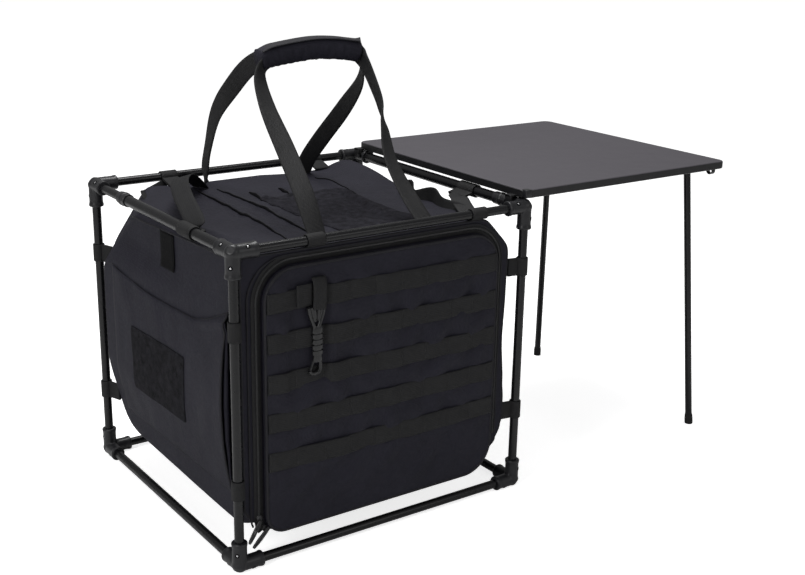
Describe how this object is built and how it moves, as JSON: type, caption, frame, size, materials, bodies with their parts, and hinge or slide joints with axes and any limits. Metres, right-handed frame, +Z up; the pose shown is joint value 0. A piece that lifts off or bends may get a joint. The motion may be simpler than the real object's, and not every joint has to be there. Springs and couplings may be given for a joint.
{
  "type": "camp storage box",
  "caption": "Square soft storage bag with a fold-down padded door, hung by webbing loops inside a cube frame of tubes, with carry handles and a hook-on side table on two legs.",
  "frame": {"origin": "middle of the whole object's bounding box, on the ground", "axes": "+X from the box towards the side table, +Y from the door to the back, +Z up"},
  "size_m": [0.8386, 0.4332, 0.615],
  "materials": {
    "black_anodised_tube": "black anodised, satin",
    "black_moulded_nylon": "matt",
    "black_canvas": "woven, matt",
    "black_webbing": "ribbed webbing, matt",
    "black_zip_metal": "black enamel",
    "black_clip_plastic": "matt",
    "dark_grey_board": "matt laminate",
    "black_table_edge": "matt",
    "black_foot_rubber": "matt"
  },
  "bodies": {
    "framed_bag": {"bag_back": "black_canvas", "bag_front_border": "black_canvas", "bag_lid": "black_canvas", "bag_wrap": "black_canvas", "corner_bottom_back_left": "black_moulded_nylon", "corner_bottom_back_right": "black_moulded_nylon", "corner_bottom_front_left": "black_moulded_nylon", "corner_bottom_front_right": "black_moulded_nylon", "corner_strap_left": "black_webbing", "corner_strap_right": "black_webbing", "corner_top_back_left": "black_moulded_nylon", "corner_top_back_right": "black_moulded_nylon", "corner_top_front_left": "black_moulded_nylon", "corner_top_front_right": "black_moulded_nylon", "post_back_left": "black_anodised_tube", "post_back_right": "black_anodised_tube", "post_front_left": "black_anodised_tube", "post_front_right": "black_anodised_tube", "post_loop_back_left_lower": "black_webbing", "post_loop_back_left_upper": "black_webbing", "post_loop_back_right_lower": "black_webbing", "post_loop_back_right_upper": "black_webbing", "post_loop_front_left_lower": "black_webbing", "post_loop_front_left_upper": "black_webbing", "post_loop_front_right_lower": "black_webbing", "post_loop_front_right_upper": "black_webbing", "rail_bottom_back": "black_anodised_tube", "rail_bottom_front": "black_anodised_tube", "rail_bottom_left": "black_anodised_tube", "rail_bottom_right": "black_anodised_tube", "rail_loop_back_left": "black_webbing", "rail_loop_back_right": "black_webbing", "rail_loop_front_left": "black_webbing", "rail_loop_front_right": "black_webbing", "rail_top_back": "black_anodised_tube", "rail_top_front": "black_anodised_tube", "rail_top_left": "black_anodised_tube", "rail_top_left_slim": "black_anodised_tube", "rail_top_right": "black_anodised_tube", "rail_top_right_slim": "black_anodised_tube", "side_pocket": "black_canvas"},
    "side_table": {"tabletop_panel": "dark_grey_board", "tabletop_rim": "black_table_edge", "leg_socket_front": "black_moulded_nylon", "leg_socket_back": "black_moulded_nylon"},
    "table_leg_front": {"leg_front": "black_anodised_tube", "leg_foot_front": "black_foot_rubber"},
    "table_leg_back": {"leg_back": "black_anodised_tube", "leg_foot_back": "black_foot_rubber"},
    "door": {"front_door": "black_canvas"},
    "door_clip": {"key_clip": "black_clip_plastic"},
    "upper_slider": {"zip_slider_upper": "black_zip_metal"},
    "upper_pull": {"zip_pull_upper": "black_clip_plastic"},
    "lower_slider": {"zip_slider_lower": "black_zip_metal"},
    "lower_pull": {"zip_pull_lower": "black_clip_plastic"},
    "front_handle": {"handle_front": "black_webbing", "grip_wrap": "black_canvas"},
    "back_handle": {"handle_back": "black_webbing"},
    "left_collar": {"rail_collar_left": "black_moulded_nylon"},
    "right_collar": {"rail_collar_right": "black_moulded_nylon"}
  },
  "joints": [
    {"name": "table_lift_off", "type": "slide", "parent": "framed_bag", "child": "side_table", "axis": [0, 0, 1], "range_m": [0, 0.05]},
    {"name": "front_leg_out", "type": "slide", "parent": "side_table", "child": "table_leg_front", "axis": [0.0583, -0.0699, -0.9958], "range_m": [0, 0.05]},
    {"name": "back_leg_out", "type": "slide", "parent": "side_table", "child": "table_leg_back", "axis": [0.0583, 0.0699, -0.9958], "range_m": [0, 0.05]},
    {"name": "door_fold", "type": "hinge", "parent": "framed_bag", "child": "door", "pos_m": [-0.40875, -0.20595, 0.0395], "axis": [1, 0, 0], "range_deg": [0, 90]},
    {"name": "clip_swing", "type": "hinge", "parent": "door", "child": "door_clip", "pos_m": [-0.40875, -0.21415, 0.3315], "axis": [-1, 0, 0], "range_deg": [0, 80]},
    {"name": "upper_zip_run", "type": "slide", "parent": "framed_bag", "child": "upper_slider", "axis": [0, 0, 1], "range_m": [0, 0.255]},
    {"name": "upper_pull_flip", "type": "hinge", "parent": "upper_slider", "child": "upper_pull", "pos_m": [-0.38075, -0.20855, 0.065], "axis": [-0.829, 0, 0.5592], "range_deg": [0, 100]},
    {"name": "lower_zip_run", "type": "slide", "parent": "framed_bag", "child": "lower_slider", "axis": [-0.4027, 0, 0.9153], "range_m": [0, 0.003]},
    {"name": "lower_pull_flip", "type": "hinge", "parent": "lower_slider", "child": "lower_pull", "pos_m": [-0.37415, -0.20855, 0.05], "axis": [-0.6428, 0, 0.766], "range_deg": [0, 100]},
    {"name": "front_handle_fold", "type": "hinge", "parent": "framed_bag", "child": "front_handle", "pos_m": [-0.40875, -0.17185, 0.40205], "axis": [1, 0, 0], "range_deg": [0, 97]},
    {"name": "back_handle_fold", "type": "hinge", "parent": "framed_bag", "child": "back_handle", "pos_m": [-0.40875, 0.17515, 0.40205], "axis": [-1, 0, 0], "range_deg": [0, 95]},
    {"name": "left_collar_twist", "type": "hinge", "parent": "framed_bag", "child": "left_collar", "pos_m": [-0.40875, 0.10315, 0.4095], "axis": [0, 1, 0], "range_deg": [0, 90]},
    {"name": "right_collar_twist", "type": "hinge", "parent": "framed_bag", "child": "right_collar", "pos_m": [0.02725, -0.15585, 0.4095], "axis": [0, 1, 0], "range_deg": [0, 90]}
  ]
}
